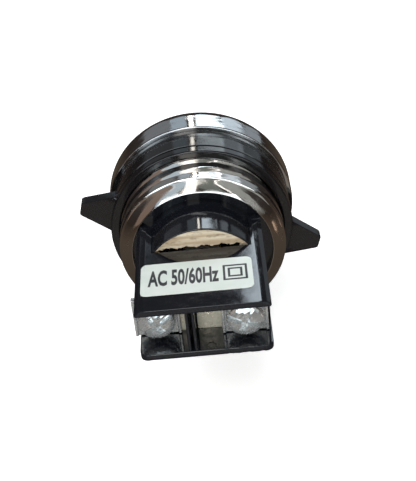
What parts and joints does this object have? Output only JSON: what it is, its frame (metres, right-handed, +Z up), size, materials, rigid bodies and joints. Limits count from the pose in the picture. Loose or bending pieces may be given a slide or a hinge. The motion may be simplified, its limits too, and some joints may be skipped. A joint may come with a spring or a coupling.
{
  "type": "panel indicator lamp",
  "caption": "Round panel indicator lamp with chrome bezel, threaded neck with winged ring nut, domed lens, built-in transformer and rear screw terminals.",
  "frame": {"origin": "centre of the bezel's back face, on the lamp's axis, where the lamp seats on the panel", "axes": "+Y out of the panel's front along the lamp's axis, -Y towards the terminals, +Z up, +X across"},
  "size_m": [0.044, 0.0541, 0.035],
  "materials": {
    "neck_chrome": "bright chrome plate with fine turning marks",
    "bezel_chrome": "bright chrome plate",
    "black_rubber": "moulded black rubber",
    "nut_black": "glossy moulded black plastic",
    "body_black": "glossy moulded black plastic",
    "lens_red": "translucent red lens plastic",
    "brass": "turned brass",
    "press_board": "varnished beige insulating board",
    "label_white": "glossy white printed label",
    "nickel": "nickel-plated brass",
    "lead_red": "insulated lead",
    "core_steel": "varnished laminated steel",
    "bobbin_nylon": "natural nylon",
    "copper": "enamelled copper wire",
    "coil_tape": "yellow polyester tape",
    "fibre_board": "brown fibre board",
    "solder": "solder",
    "bulb_glass": "clear glass",
    "tungsten": "tungsten wire on a glass bead",
    "spring_steel": "spring steel",
    "zinc": "bright zinc-plated steel"
  },
  "bodies": {
    "lamp_unit": {"neck_sleeve": "neck_chrome", "lamp_body": "body_black", "retaining_ring": "brass", "end_board": "press_board", "terminal_block": "body_black", "floor_plate": "body_black", "rating_label": "label_white", "terminal_rivets": "nickel", "lead_wires": "lead_red", "transformer_core": "core_steel", "coil_bobbin": "bobbin_nylon", "primary_winding": "copper", "secondary_winding": "copper", "coil_tape": "coil_tape", "holder_insulator": "fibre_board", "bulb_holder": "brass", "panel_gasket": "black_rubber", "terminal_plate_left": "nickel", "terminal_plate_right": "nickel", "contact_spring": "spring_steel"},
    "thrust_ring": {"thrust_washer": "nut_black"},
    "ring_nut": {"ring_nut": "nut_black"},
    "lens": {"lens": "lens_red", "lens_gasket": "black_rubber"},
    "bezel": {"bezel_ring": "bezel_chrome"},
    "contact": {"contact_plunger": "brass"},
    "bulb": {"bulb_cap": "nickel", "bulb_contact": "solder", "bulb_glass": "bulb_glass", "bulb_filament": "tungsten"},
    "washers_left": {"square_washer_left": "zinc", "spring_washer_left": "zinc"},
    "screw_left": {"terminal_screw_left": "zinc"},
    "washers_right": {"square_washer_right": "zinc", "spring_washer_right": "zinc"},
    "screw_right": {"terminal_screw_right": "zinc"}
  },
  "joints": [
    {"name": "ring_nut_travel", "type": "slide", "parent": "lamp_unit", "child": "thrust_ring", "axis": [0, -1, 0], "range_m": [0, 0.006]},
    {"name": "ring_nut_turn", "type": "hinge", "parent": "thrust_ring", "child": "ring_nut", "pos_m": [0, -0.0075, 0], "axis": [0, -1, 0], "range_deg": [0, 720]},
    {"name": "lens_travel", "type": "slide", "parent": "lamp_unit", "child": "lens", "axis": [0, 1, 0], "range_m": [0, 0.003]},
    {"name": "bezel_turn", "type": "hinge", "parent": "lens", "child": "bezel", "pos_m": [0, 0, 0], "axis": [0, 1, 0], "range_deg": [0, 1080]},
    {"name": "bulb_push", "type": "slide", "parent": "lamp_unit", "child": "contact", "axis": [0, -1, 0], "range_m": [0, 0.0008], "stiffness_N_per_m": 3000, "springref_m": -0.0003, "deforming": ["contact_spring"]},
    {"name": "bulb_turn", "type": "hinge", "parent": "contact", "child": "bulb", "pos_m": [0, -0.0103, 0], "axis": [0, -1, 0], "range_deg": [-25, 0]},
    {"name": "screw_left_travel", "type": "slide", "parent": "lamp_unit", "child": "washers_left", "axis": [0, -1, 0], "range_m": [0, 0.003]},
    {"name": "screw_left_turn", "type": "hinge", "parent": "washers_left", "child": "screw_left", "pos_m": [-0.0081, -0.0325, 0.0015], "axis": [0, -1, 0], "range_deg": [0, 2160]},
    {"name": "screw_right_travel", "type": "slide", "parent": "lamp_unit", "child": "washers_right", "axis": [0, -1, 0], "range_m": [-0.001, 0.002]},
    {"name": "screw_right_turn", "type": "hinge", "parent": "washers_right", "child": "screw_right", "pos_m": [0.0063, -0.0325, 0.0015], "axis": [0, -1, 0], "range_deg": [-720, 1440]}
  ],
  "couplings": [
    {"joint": "ring_nut_turn", "follows": "ring_nut_travel", "rad_per_m": 2094.4},
    {"joint": "bezel_turn", "follows": "lens_travel", "rad_per_m": 6283.2},
    {"joint": "screw_left_turn", "follows": "screw_left_travel", "rad_per_m": 12566},
    {"joint": "screw_right_turn", "follows": "screw_right_travel", "rad_per_m": 12566}
  ]
}
